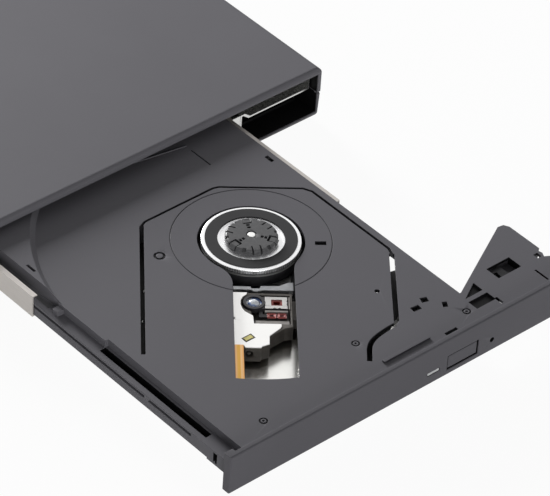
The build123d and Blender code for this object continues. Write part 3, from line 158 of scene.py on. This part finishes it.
def screen(r, g, b):
    """A colour as a screen shows it, 0 to 255, as the light values that shaders use."""
    light = (((c / 255 + 0.055) / 1.055) ** 2.4 if c > 10 else c / 255 / 12.92 for c in (r, g, b))
    return (*light, 1.0)


def add_mesh(name, bm, finish):
    """Makes an object of a bmesh, at the origin."""
    mesh = bpy.data.meshes.new(name)
    bm.to_mesh(mesh)
    bm.free()
    piece = bpy.data.objects.new(name, mesh)
    bpy.context.scene.collection.objects.link(piece)
    mesh.materials.append(finish.material)
    return piece


bm = bmesh.new()
bmesh.ops.create_grid(bm, x_segments=1, y_segments=1, size=3.0)
paper = Finish("studio_paper", screen(232, 232, 232), 0.9)
seen = paper.node("ShaderNodeLightPath", out="Is Camera Ray")
for ray in ("Is Glossy Ray", "Is Transmission Ray"):
    seen = seen.or_else(paper.node("ShaderNodeLightPath", out=ray))
glow = paper.node("ShaderNodeEmission", None, {"Color": (1, 1, 1, 1), "Strength": 1.0})
sheet = Link(paper, paper.shader.outputs[0])
glow_share = 0.95
lit = paper.node("ShaderNodeMixShader", None, {0: seen * glow_share, 1: sheet, 2: glow})
paper.feed(paper.nodes["Material Output"].inputs["Surface"], lit)
add_mesh("floor", bm, paper)

# The light: a white surround, a broad lamp low behind the drive, whose light the case keeps
# off the rear of the tray, and a weaker one low in front.
world = bpy.data.worlds.new("studio")
bpy.context.scene.world = world
world.use_nodes = True
sky = world.node_tree
surround = sky.nodes["Background"]
surround.inputs["Color"].default_value = (1, 1, 1, 1)
surround.inputs["Strength"].default_value = 0.13
backdrop = sky.nodes.new("ShaderNodeBackground")
backdrop.inputs["Color"].default_value = (1, 1, 1, 1)
backdrop.inputs["Strength"].default_value = 1.0
path = sky.nodes.new("ShaderNodeLightPath")
shown = path.outputs["Is Camera Ray"]
for name in ("Is Glossy Ray", "Is Transmission Ray"):
    larger = sky.nodes.new("ShaderNodeMath")
    larger.operation = "MAXIMUM"
    sky.links.new(shown, larger.inputs[0])
    sky.links.new(path.outputs[name], larger.inputs[1])
    shown = larger.outputs[0]
either = sky.nodes.new("ShaderNodeMixShader")
sky.links.new(shown, either.inputs[0])
sky.links.new(surround.outputs[0], either.inputs[1])
sky.links.new(backdrop.outputs[0], either.inputs[2])
sky.links.new(either.outputs[0], sky.nodes["World Output"].inputs["Surface"])
aim = Vector((0, -0.03, 0.01))
for name, place, size, power in (
    ("lamp_behind", (0.2, 1.1, 0.32), 0.36, 25.5),
    ("lamp_front", (-0.6, -1.2, 0.16), 0.7, 10.0),
):
    lamp = bpy.data.objects.new(name, bpy.data.lights.new(name, "AREA"))
    lamp.data.energy = power
    lamp.data.size = size
    lamp.location = place
    lamp.rotation_euler = (aim - Vector(place)).to_track_quat("-Z", "Y").to_euler()
    bpy.context.scene.collection.objects.link(lamp)


def eased(node, edge, finish, body):
    """A node's own mesh, worked in millimetres: points merged and sharp edges rounded, as moulded."""
    crease, too_near = radians(28.0), 0.002
    bm = bmesh.new()
    bm.from_mesh(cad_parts[node].data)
    bmesh.ops.scale(bm, vec=(1000, 1000, 1000), verts=bm.verts)
    bmesh.ops.remove_doubles(bm, verts=bm.verts, dist=too_near)
    bmesh.ops.dissolve_degenerate(bm, dist=too_near, edges=bm.edges)
    sharp = [e for e in bm.edges if e.is_manifold and e.calc_face_angle(0) > crease]
    bmesh.ops.bevel(bm, geom=sharp, offset=edge, offset_type="OFFSET", segments=2, profile=0.5,
                    affect="EDGES", clamp_overlap=False, material=-1)
    bmesh.ops.scale(bm, vec=(0.001, 0.001, 0.001), verts=bm.verts)
    for face in bm.faces:
        face.smooth = True
    for e in bm.edges:
        e.smooth = len(e.link_faces) == 2 and e.calc_face_angle(0) < crease
    piece = add_mesh(node + "_piece", bm, finish)
    even = piece.modifiers.new("even_normals", "WEIGHTED_NORMAL")
    even.keep_sharp = True
    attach(piece, body)
    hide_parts(node)


def satin(name, colour, painted_shade_mask, rough):
    """Moulded plastic: soft cloudiness, a fine grain, and painted shade, near black, where the given mask
    is 1.
    """
    cloud, rough_range, grain_depth, shade = 0.05, 0.14, 0.000012, screen(13, 13, 14)
    finish = Finish(name, colour, rough)
    finish.set("Specular IOR Level", 0.15)
    light = tuple(c * (1 + cloud) for c in colour[:3]) + (1.0,)
    deep = tuple(c * (1 - cloud) for c in colour[:3]) + (1.0,)
    tone = finish.blend(finish.noise(40.0, 3.0), deep, light)
    # Painted shade: where the mask is 1, the colour is painted near black.
    finish.set("Base Color", finish.blend(painted_shade_mask(finish), tone, shade))
    grain = finish.noise(2400.0)
    finish.set("Roughness", grain * rough_range + (rough - rough_range / 2))
    finish.bump(grain, grain_depth)
    return finish


def between(finish, direction, low, high):
    """1 where a point lies between two places along a direction, in millimetres."""
    place = finish.along(direction)
    return (place > low / 1000) * (place < high / 1000)


def within(finish, x, y, z):
    """1 inside a box, from its ranges along X, Y and Z in millimetres."""
    return between(finish, (1, 0, 0), *x) * between(finish, (0, 1, 0), *y) * between(finish, (0, 0, 1), *z)


def case_painted_shade(finish):
    """The room between the two shells, where the case's colour is painted black as shade."""
    return within(finish, (-64.45, 64.45), (-15.9, 125.2), (2.85, 16.45))


# The case's grey, with its inside painted black as painted shade.
case_grey = satin("case_grey", screen(108, 107, 112), case_painted_shade, 0.47)
eased("upper_shell", 0.2, case_grey, "case")
eased("lower_shell", 0.2, case_grey, "case")


def coat(finish, *nodes):
    """Gives CAD nodes that are shown as they are a finish."""
    for node in nodes:
        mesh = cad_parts[node].data
        mesh.materials.clear()
        mesh.materials.append(finish.material)


# Black rubber: four round feet, moulded and glued into recesses below the case, and the
# three dampers that carry the traverse in the tray.
rubber = Finish("foot_rubber", screen(36, 36, 38), 0.8)
rubber.mottle((30, 30, 32), (42, 42, 44), 600.0)
rubber.bump(rubber.noise(1800.0), 0.00002)
coat(rubber, "rubber_feet", "traverse_dampers")

# Blackened steel: the two screws that hold the lower shell, sunk below the case, and the
# latch's hook, which is pressed from sheet and turns on its post.
black_steel = Finish("blackened_steel", screen(48, 48, 50), 0.4, 0.8)
black_steel.set("Roughness", black_steel.noise(900.0) * 0.25 + 0.3)
black_steel.bump(black_steel.noise(1500.0), 0.000006)
coat(black_steel, "shell_screws", "latch_hook")

# Small bright machine screws and the latch's pin: turned from steel and zinc-plated, with
# a slight grain from the plating. They hold the boards, the chassis cover, the tray's sheet
# and the dampers.
zinc = Finish("zinc_plate", screen(200, 200, 196), 0.32, 1.0)
zinc.mottle((182, 182, 178), (214, 214, 208), 700.0)
zinc.set("Roughness", zinc.noise(1300.0) * 0.2 + 0.25)
coat(zinc, "bridge_screws", "board_screws", "chassis_screws", "tray_screws", "damper_screws", "latch_pin")

# Circuit boards: glass fibre under a green solder mask, with faint copper tracks below it.
# The bridge board and the drive's board are screwed down, and the switch's board is in the tray.
board_green = Finish("solder_mask", screen(24, 84, 56), 0.35, 0.0, 0.3)
tracks = board_green.noise(260.0, 1.0) > 0.52
board_green.set("Base Color", board_green.blend(tracks, screen(22, 76, 50), screen(34, 102, 70)))
board_green.bump(board_green.noise(900.0, 1.0), 0.00001)
coat(board_green, "bridge_board", "main_board", "switch_board")

# Chips, plugs and the power socket: moulded in black epoxy and nylon and soldered to their
# boards. The guide of the left rail is the same nylon, set in the chassis.
epoxy = Finish("black_epoxy", screen(32, 32, 34), 0.55)
epoxy.mottle((26, 26, 28), (40, 40, 42), 800.0)
epoxy.bump(epoxy.noise(2200.0), 0.000012)
coat(epoxy, "bridge_parts", "board_parts", "power_jack", "drive_connector", "drive_plug", "left_rail_guide")

# The data socket: its shell is folded from nickel-plated steel strip and soldered to the
# bridge board.
nickel = Finish("nickel_plate", screen(205, 203, 196), 0.25, 1.0)
nickel.set("Roughness", nickel.stretched(500.0, (8, 1, 1)) * 0.2 + 0.18)
nickel.mottle((190, 188, 182), (216, 214, 208), 300.0)
coat(nickel, "usb_socket")

# The drive's chassis, its cover and the right rail's guide: pressed from bright galvanised
# sheet, rolled along the drive, so the grain runs front to back.
galvanised = Finish("galvanised_sheet", screen(214, 214, 212), 0.3, 0.95)
rolled = galvanised.stretched(900.0, (6, 0.5, 6))
galvanised.set("Base Color", galvanised.blend(rolled, screen(200, 200, 198), screen(226, 226, 224)))
galvanised.set("Roughness", rolled * 0.16 + 0.2)
galvanised.bump(rolled, 0.000004)
coat(galvanised, "chassis_base", "chassis_top_cover", "right_rail_guide")

# The two rails: folded steel channels that carry the tray half way out of the chassis. The
# grain runs along them.
rail_metal = Finish("rail_steel", screen(205, 200, 195), 0.4, 0.35)
drawn = rail_metal.stretched(1400.0, (5, 0.25, 5))
rail_metal.set("Base Color", rail_metal.blend(drawn, screen(196, 190, 184), screen(218, 213, 208)))
rail_metal.set("Roughness", drawn * 0.18 + 0.33)
rail_metal.bump(drawn, 0.000005)
coat(rail_metal, "left_rail", "right_rail")

# The flat cable: white polyester film, laminated over tinned conductors. One run lies on
# the chassis floor, and the other goes with the tray.
film = Finish("cable_film", screen(226, 226, 220), 0.35)
lines = film.stretched(700.0, (4, 0.02, 0.02), 0.0)
film.set("Base Color", film.blend(lines, screen(206, 207, 204), screen(238, 238, 232)))
coat(film, "flat_cable_lower", "flat_cable_loop")


# The tray: one ABS moulding in a darker grey, with the disc's recess, the wing, the bead
# along its left edge and fine grooves. Its pockets and slots are painted black as shade.
def tray_painted_shade(finish):
    """Boxes of painted black shade in the tray's own millimetres, from the bezel's left end, front and
    bottom.
    """
    left, front, bottom = -64.0, -126.75, 3.3
    dark = 0.0
    # Each row: how black the painted shade is, then the box's ranges along X, Y and Z.
    for black, x0, x1, y0, y1, z0, z1 in (
        (0.8, 8.2, 94.0, 4.3, 140.0, 9.03, 10.06),    # the deck's slots and holes
        (1.0, 2.15, 4.0, 7.5, 9.3, 2.8, 7.3),         # the bezel clip's slot
        (1.0, 3.6, 5.9, 14.1, 58.4, 3.0, 7.7),        # the pocket over the left rail
        (0.93, 94.4, 103.0, 6.3, 16.5, 8.0, 10.1),    # the two windows at the wing's root
        (1.0, 108.3, 117.3, 12.7, 18.2, 7.75, 10.1),  # the latch window's walls
        (0.55, 108.3, 117.3, 12.7, 18.2, 7.0, 7.75),  # and its floor
        (1.0, 118.7, 125.5, 4.0, 14.8, 8.0, 10.1),    # the wing's slits
    ):
        box = within(finish, (x0 + left, x1 + left), (y0 + front, y1 + front), (z0 + bottom, z1 + bottom))
        dark = (box * black).or_else(dark)
    return dark


tray_grey = satin("tray_grey", screen(106, 105, 110), tray_painted_shade, 0.46)
eased("tray", 0.06, tray_grey, "tray")
coat(tray_grey, "latch_pivot")


# The bezel and the eject button: moulded in the same grey ABS, a shade darker. The bezel is
# snapped on the tray. The gap round the button and the pin's hole are painted black as shade.
def bezel_painted_shade(finish):
    # Painted shade: the gap round the button and the pin's hole are painted black.
    button_gap = within(finish, (13.5, 25.4), (-126.42, -123.7), (4.9, 10.2))
    pin_hole = within(finish, (29.4, 31.4), (-126.7, -123.7), (6.3, 8.3))
    return button_gap.or_else(pin_hole)


bezel_grey = satin("bezel_grey", screen(92, 91, 96), bezel_painted_shade, 0.5)
eased("bezel", 0.15, bezel_grey, "tray")
eased("eject_button", 0.12, bezel_grey, "eject_button")

# The lamp's window: a strip of clear acrylic, frosted at its front end, pressed into a slot
# of the bezel.
acrylic = Finish("frosted_acrylic", screen(190, 192, 192), 0.3, 0.0, 0.4)
acrylic.mottle((168, 170, 172), (222, 224, 224), 700.0)
coat(acrylic, "led_light_pipe")

# The eject coil: enamelled copper wire, wound on a bobbin in a folded yoke, under the
# tray's wing.
winding = Finish("coil_wire", screen(150, 84, 48), 0.35, 0.6)
turns = winding.stretched(2600.0, (1, 0.05, 0.05), 0.0)
winding.set("Base Color", winding.blend(turns, screen(110, 58, 34), screen(178, 104, 60)))
coat(winding, "latch_solenoid")

# The tray's bottom cover: thin bright sheet steel, brushed, and screwed on from below. Black
# film is stuck on it below the two long slots, and two beads of solder show through one.
bright_sheet = Finish("bright_sheet", screen(244, 243, 240), 0.22, 1.0)
brushed = bright_sheet.stretched(1200.0, (0.3, 5, 5))
bright_sheet.set("Base Color", bright_sheet.blend(brushed, screen(236, 235, 231), screen(252, 251, 248)))
bright_sheet.set("Roughness", brushed * 0.14 + 0.15)
coat(bright_sheet, "tray_bottom_cover")

travel = Vector((-0.6360782, -0.7716246, 0))
across = Vector((0.7716246, -0.6360782, 0))
spindle = Vector((0.001, -0.05965, 0.0033))


def at_travel(r, s, z):
    """A point from the spindle: r along the pickup's travel, s across it, z over the drive's bottom, mm."""
    return spindle + (travel * r + across * s + Vector((0, 0, z))) / 1000


def plate(name, outline, low, high, finish, body, round_off, where=at_travel):
    """A flat piece from its outline, extruded upwards, with its edges rounded."""
    bm = bmesh.new()
    corners = [bm.verts.new(where(a, b, low)) for a, b in outline]
    face = bm.faces.new(corners)
    up = bmesh.ops.extrude_face_region(bm, geom=[face])
    top = [v for v in up["geom"] if isinstance(v, bmesh.types.BMVert)]
    bmesh.ops.translate(bm, vec=(0, 0, (high - low) / 1000), verts=top)
    bmesh.ops.recalc_face_normals(bm, faces=bm.faces)
    bmesh.ops.bevel(bm, geom=bm.edges[:], offset=round_off / 1000, offset_type="OFFSET", segments=2,
                    profile=0.5, affect="EDGES", clamp_overlap=True, material=-1)
    piece = add_mesh(name, bm, finish)
    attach(piece, body)


def at_hub(x, y, z):
    """A point from the spindle along the tray's own sides, in millimetres."""
    return spindle + Vector((x, y, z)) / 1000


black_film = Finish("black_film", screen(22, 22, 24), 0.5)
black_film.mottle((16, 16, 18), (30, 29, 29), 500.0)
black_film.bump(black_film.noise(1500.0), 0.00001)
film_bottom, film_top = 2.02, 2.1
for name, outline in (
    ("slot_film", [(-50.2, -16.6), (-12.9, 25.5), (-19.3, 25.5), (-53.8, -13.4)]),
    ("front_slot_film", [(-3.0, -53.5), (4.5, -53.5), (11.5, -45.5), (20.0, -41.0), (25.0, -38.5),
                         (28.5, -32.0), (31.0, -27.5), (27.0, -26.5), (22.5, -34.0), (13.5, -36.5),
                         (4.5, -41.0), (-1.5, -47.0)]),
):
    plate(name, outline, film_bottom, film_top, black_film, "tray", 0.02, at_hub)
solder = Finish("tin_solder", screen(240, 240, 238), 0.25, 0.8)
solder.mottle((226, 226, 224), (250, 250, 248), 1500.0)
bead_radius, bead_height = 0.00055, 2.2
for k, place in enumerate(((-31.6, 8.05), (-40.15, -1.55))):
    bm = bmesh.new()
    bmesh.ops.create_uvsphere(bm, u_segments=24, v_segments=12, radius=bead_radius)
    bmesh.ops.scale(bm, vec=(1, 1, 0.7), verts=bm.verts)
    bmesh.ops.translate(bm, vec=at_hub(*place, bead_height), verts=bm.verts)
    for face in bm.faces:
        face.smooth = True
    bead = add_mesh(f"solder_bead_{k + 1}", bm, solder)
    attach(bead, "tray")

# The traverse: a die-cast frame under the deck, with a bright spring plate before the
# spindle motor that shows in the window.
cast = Finish("die_cast", screen(78, 78, 80), 0.5, 0.4)
cast.mottle((64, 64, 66), (92, 92, 94), 420.0, 3.0)
cast.bump(cast.noise(900.0, 3.0), 0.00003)
coat(cast, "traverse_frame")
spring_plate = Finish("spring_plate", screen(200, 202, 204), 0.35, 0.4)
spring_plate.mottle((176, 178, 182), (222, 224, 226), 500.0)
spring_plate.set("Roughness", spring_plate.noise(800.0) * 0.2 + 0.25)
for name, low, high, outline in (
    ("motor_bracket", 7.1, 7.45, [(16.9, -5.2), (16.9, -0.4), (17.7, -0.2), (17.7, 2.0), (16.6, 2.4),
                                  (16.4, 7.4), (14.9, 10.0), (14.9, 11.4), (18.3, 11.4), (18.3, 2.8),
                                  (18.9, 1.4), (18.9, 0.4), (18.2, -0.2), (18.2, -5.2)]),
    ("bracket_leg_right", 3.72, 7.2, [(14.9, 10.5), (16.2, 10.5), (16.2, 11.4), (14.9, 11.4)]),
    ("bracket_leg_left", 3.0, 7.2, [(16.95, -5.15), (18.1, -5.15), (18.1, -4.3), (16.95, -4.3)]),
):
    plate(name, outline, low, high, spring_plate, "tray", 0.08)

# The two guide rods, ground from stainless steel and held in the traverse, and the lead
# screw, rolled and plated bright.
ground = Finish("ground_steel", screen(222, 222, 222), 0.16, 1.0)
ground.set("Roughness", ground.noise(1500.0) * 0.12 + 0.12)
coat(ground, "guide_rods", "lead_screw")

# Motors: the stepper's drawn can and the pressed base plate of the spindle motor, both of
# plated steel, fixed to the traverse.
can_steel = Finish("motor_can", screen(186, 186, 184), 0.35, 0.9)
can_steel.set("Roughness", can_steel.noise(900.0) * 0.2 + 0.27)
can_steel.mottle((172, 172, 170), (198, 198, 196), 300.0)
coat(can_steel, "stepper_motor", "motor_base")


# The rotor: a drawn steel cup, blackened, whose bright lip shows below the turntable. The
# shaft's tip in the middle of the hub is ground bright.
def from_spindle(finish):
    """How far a point lies from the spindle's axis, in metres."""
    offset = finish.vector("SUBTRACT", finish.place(), tuple(spindle))
    return finish.vector("LENGTH", finish.vector("MULTIPLY", offset, (1, 1, 0)), (0, 0, 0), "Value")


rotor = Finish("blackened_rotor", screen(40, 40, 42), 0.35, 0.8)
radius = from_spindle(rotor)
shaft_radius, lip_radius, lip_bottom, lip_shine = 0.0012, 0.0138, 0.0116, 0.55
shaft = radius < shaft_radius
lip = (radius > lip_radius) * (rotor.along((0, 0, 1)) > lip_bottom)
bright = shaft.or_else(lip * lip_shine)
soot = rotor.blend(rotor.noise(700.0), screen(66, 66, 69), screen(92, 92, 96))
rotor.set("Base Color", rotor.blend(bright, soot, screen(240, 240, 238)))
rotor.set("Roughness", rotor.noise(900.0) * 0.15 + 0.3)
coat(rotor, "motor_rotor")

# The turntable: aluminium, turned on a lathe that leaves fine rings, and set on the rotor's
# cup.
turned = Finish("turned_aluminium", screen(236, 236, 236), 0.3, 0.9)
groove_angle = 42000.0  # radians a metre: a ring every 0.15 mm
rings = from_spindle(turned) * groove_angle
lathe = rings.math("SINE", rings)
turned.mottle((236, 236, 237), (252, 252, 253), 160.0)
turned.set("Roughness", lathe * 0.05 + 0.3)
coat(turned, "turntable_ring")

# The friction ring: soft black rubber, cut from sheet, matt, and glued flush with the
# table's rim.
grip = Finish("friction_rubber", screen(26, 26, 28), 0.9)
grip.mottle((20, 20, 22), (32, 32, 34), 900.0)
grip.bump(grip.noise(2600.0), 0.000012)
coat(grip, "rubber_ring")

# The centring hub and its three sprung claws: moulded in black acetal. The hub is pressed
# on the shaft, and the claws slide in it.
acetal = Finish("black_acetal", screen(74, 74, 76), 0.42)
acetal.mottle((60, 60, 62), (88, 88, 90), 1100.0, 3.0)
acetal.bump(acetal.noise(1500.0), 0.00002)
eased("centring_hub", 0.07, acetal, "turntable")
coat(acetal, "hub_claw_1", "hub_claw_2", "hub_claw_3")

# The pickup's carriage: cast in magnesium, dark grey, and run on the two rods. The finger
# that follows the lead screw is moulded in plain acetal.
casting = Finish("carriage_casting", screen(92, 88, 84), 0.45, 0.35)
casting.mottle((60, 57, 54), (104, 99, 94), 500.0, 3.0)
casting.bump(casting.noise(1100.0, 3.0), 0.00003)
eased("pickup_body", 0.12, casting, "sled")
natural = Finish("natural_acetal", screen(205, 200, 188), 0.5)
natural.mottle((196, 190, 178), (214, 210, 198), 500.0)
coat(natural, "nut_finger")

# The carriage's cover: pressed from bright tinned sheet and set over the carriage, with a
# little blank inspection label stuck beside the flexible print.
tinned = Finish("tinned_sheet", screen(250, 249, 247), 0.3, 0.75)
tinned.mottle((250, 249, 247), (255, 254, 252), 130.0, 3.0)
tinned.set("Roughness", tinned.noise(300.0) * 0.04 + 0.28)
eased("pickup_cover", 0.06, tinned, "sled")
label_edge = Finish("label_edge", screen(40, 34, 20), 0.5)
label_edge.mottle((30, 26, 16), (56, 48, 28), 900.0)
label_paper = Finish("label_paper", screen(246, 226, 130), 0.6)
label_paper.mottle((252, 236, 130), (255, 248, 178), 600.0)
for name, low, high, finish, outline in (
    ("label_border", 8.2, 8.24, label_edge, [(39.9, -3.5), (37.8, -0.9), (39.4, 0.35), (41.5, -2.25)]),
    ("label_face", 8.235, 8.27, label_paper, [(39.9, -2.95), (38.35, -1.0), (39.35, -0.2), (40.9, -2.15)]),
):
    plate(name, outline, low, high, finish, "sled", 0.01)

# The actuator's yoke: bent from plated iron, with two magnets glued in it, around the lens
# holder.
yoke_iron = Finish("yoke_iron", screen(150, 146, 142), 0.4, 0.5)
yoke_iron.mottle((112, 108, 106), (176, 172, 168), 600.0)
coat(yoke_iron, "actuator_yoke")

# The lens holder: moulded in black liquid-crystal polymer, with a white moulded frame
# round the focus coil's window on top of its arm.
polymer = Finish("black_polymer", screen(30, 29, 32), 0.4)
polymer.mottle((22, 21, 24), (48, 46, 50), 900.0)
coat(polymer, "lens_holder")
ivory = Finish("white_polymer", screen(244, 241, 238), 0.45)
ivory.mottle((250, 247, 244), (255, 254, 252), 500.0)
frame_bottom, frame_top = 8.05, 8.22
for name, outline in (
    ("coil_frame_inner", [(22.15, 3.3), (22.15, 9.4), (23.2, 9.45), (23.2, 3.3)]),
    ("coil_frame_left", [(23.1, 3.3), (23.1, 5.0), (26.0, 5.0), (26.0, 3.3)]),
    ("coil_frame_right", [(23.1, 8.0), (23.1, 9.45), (24.0, 9.2), (24.4, 9.45), (25.0, 9.2), (26.0, 9.45),
                          (26.0, 8.0)]),
    ("coil_frame_outer", [(25.8, 3.3), (25.8, 9.45), (26.95, 9.45), (26.95, 7.6), (26.6, 7.3), (27.0, 6.6),
                          (26.6, 5.8), (26.95, 5.4), (26.95, 3.3)]),
):
    plate(name, outline, frame_bottom, frame_top, ivory, "lens", 0.05)

# The coils: dark red enamelled wire. The focus coil is wound flat in the arm's window, and
# two small tracking coils are glued to the holder.
enamel = Finish("red_enamel", screen(120, 34, 30), 0.3, 0.2)
wound = enamel.noise(1600.0, 1.0)
enamel.set("Base Color", enamel.blend(wound, screen(84, 18, 20), screen(168, 66, 58)))
coat(enamel, "focus_coil")


def coil(name, r0, r1, s0, s1, z, turns, wire, finish, body):
    """A flat winding: rounded rectangles of round wire inside one another."""
    merged = bmesh.new()
    spacing = wire * 2.05
    for k in range(turns):
        step = k * spacing
        loop = bpy.data.curves.new(name + "_path", "CURVE")
        loop.dimensions = "3D"
        loop.bevel_depth = wire / 1000
        loop.bevel_resolution = 2
        spline = loop.splines.new("NURBS")
        corners = [Vector(corner) for corner in (
            (r0 + step, s0 + step), (r1 - step, s0 + step), (r1 - step, s1 - step), (r0 + step, s1 - step),
        )]
        points = []
        for corner, following in zip(corners, corners[1:] + corners[:1]):
            points += [corner, corner.lerp(following, 0.2), corner.lerp(following, 0.8)]
        spline.points.add(len(points) - 1)
        for point, (r, s) in zip(spline.points, points):
            point.co = (*at_travel(r, s, z), 1.0)
        spline.use_cyclic_u = True
        spline.order_u = 3
        holder = bpy.data.objects.new(name + "_path", loop)
        tube = bpy.data.meshes.new_from_object(holder)
        merged.from_mesh(tube)
        bpy.data.objects.remove(holder)
    for face in merged.faces:
        face.smooth = True
    piece = add_mesh(name, merged, finish)
    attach(piece, body)


coil_near, coil_far, coil_height, coil_turns, wire_radius = 28.35, 30.3, 7.5, 3, 0.13
for name, left, right in (("tracking_coil_left", 3.9, 6.2), ("tracking_coil_right", 6.7, 9.0)):
    coil(name, coil_near, coil_far, left, right, coil_height, coil_turns, wire_radius, enamel,
         "lens")

# The objective lens: moulded glass, glued in the holder. Its colour is painted in clouds of
# the coating's own blue and a painted reflection of white sky.
coated = Finish("coated_glass", screen(170, 190, 220), 0.08, 0.0, 1.0)
# Painted reflection: clouds of the coating's blue and of white sky are painted into the colour.
coating_and_painted_sky = coated.noise(520.0, 1.0)
coating_and_sky_colours = [(0.36, screen(28, 60, 130)), (0.47, screen(96, 140, 210)), (0.55, screen(232, 238, 244))]
coated.set("Base Color", coated.node("ShaderNodeValToRGB", {"stops": coating_and_sky_colours}, {"Fac": coating_and_painted_sky}))
coat(coated, "objective_lens")

# The pickup's flexible print: amber polyimide film over etched copper tracks, which lies
# along the window's left edge. Its colours change across the strip, from the left.
polyimide = Finish("polyimide", screen(236, 176, 84), 0.3, 0.6, 0.3)
side_place = (polyimide.along(tuple(across)) - spindle.dot(across)) * 1000.0
left_edge, share_of_width = -5.45, 0.41
stripes = [(0.0, screen(206, 140, 70)), (0.12, screen(250, 196, 140)), (0.3, screen(240, 184, 84)),
           (0.55, screen(238, 178, 66)), (0.7, screen(252, 206, 146)), (1.0, screen(236, 168, 92))]
over_strip = {"Fac": (side_place - left_edge) * share_of_width}
polyimide.set("Base Color", polyimide.node("ShaderNodeValToRGB", {"stops": stripes}, over_strip))
coat(polyimide, "pickup_flex")
